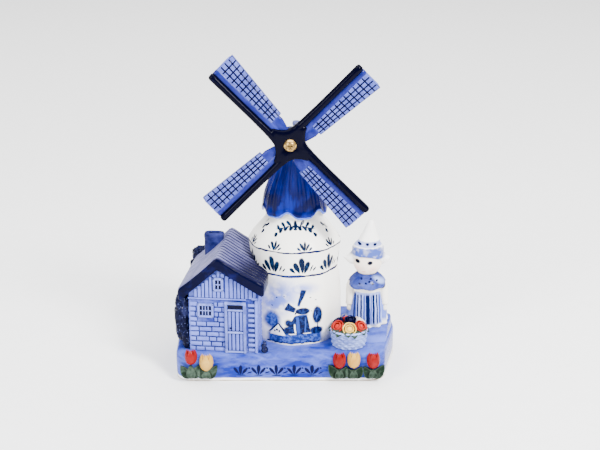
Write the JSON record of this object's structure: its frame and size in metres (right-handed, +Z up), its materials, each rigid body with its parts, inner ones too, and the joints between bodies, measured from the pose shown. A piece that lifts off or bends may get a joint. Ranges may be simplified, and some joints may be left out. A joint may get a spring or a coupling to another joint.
{
  "type": "windmill figurine",
  "caption": "Glazed ceramic windmill souvenir on a rounded plinth, with spinning lattice sails, a cottage, a girl in a pointed bonnet, a flower basket and tulips.",
  "frame": {"origin": "on the table under the middle of the plinth, level with the foot ring", "axes": "+Z up, -Y towards the front where the sails and the tulips are, +X to the viewer's right, where the girl stands"},
  "size_m": [0.122, 0.0762, 0.1759],
  "materials": {
    "plinth_glaze": "gloss glaze",
    "tower_glaze": "gloss glaze",
    "cap_glaze": "gloss glaze",
    "sail_glaze": "gloss glaze",
    "cottage_glaze": "gloss glaze",
    "roof_glaze": "gloss glaze",
    "hedge_glaze": "gloss glaze",
    "dress_glaze": "gloss glaze",
    "linen_glaze": "gloss glaze",
    "face_glaze": "gloss glaze",
    "basket_glaze": "gloss glaze",
    "leaf_enamel": "gloss glaze",
    "red_enamel": "gloss glaze",
    "yellow_enamel": "gloss glaze",
    "blue_enamel": "gloss glaze",
    "white_enamel": "gloss glaze",
    "brass": "polished",
    "nylon": "satin"
  },
  "bodies": {
    "figurine": {"base_plinth": "plinth_glaze", "tower_shell": "tower_glaze", "cap_shell": "cap_glaze", "cap_finial": "cap_glaze", "shaft_boss": "cap_glaze", "cottage_walls": "cottage_glaze", "cottage_roof": "roof_glaze", "cottage_chimney": "roof_glaze", "cottage_door": "cottage_glaze", "cottage_window": "cottage_glaze", "gable_window": "cottage_glaze", "side_hedge": "hedge_glaze", "rear_tree": "hedge_glaze", "corner_shrub": "hedge_glaze", "maid_skirt": "dress_glaze", "maid_bodice": "linen_glaze", "maid_apron": "dress_glaze", "maid_arms": "linen_glaze", "maid_scarf": "dress_glaze", "maid_head": "face_glaze", "maid_bonnet": "linen_glaze", "basket": "basket_glaze", "basket_leaves": "leaf_enamel", "roses_red": "red_enamel", "roses_yellow": "yellow_enamel", "roses_blue": "blue_enamel", "roses_white": "white_enamel", "tulips_red": "red_enamel", "tulips_yellow": "yellow_enamel", "tulip_leaves_left": "leaf_enamel", "tulip_leaves_right": "leaf_enamel", "pivot_screw": "brass", "cup_washer": "brass", "spacer_washer": "nylon", "wall_plug": "nylon"},
    "sails": {"sail_cross": "sail_glaze"}
  },
  "joints": [
    {"name": "sail_spin", "type": "hinge", "parent": "figurine", "child": "sails", "pos_m": [0.0025, -0.025, 0.13], "axis": [0, -1, 0], "continuous": true}
  ]
}
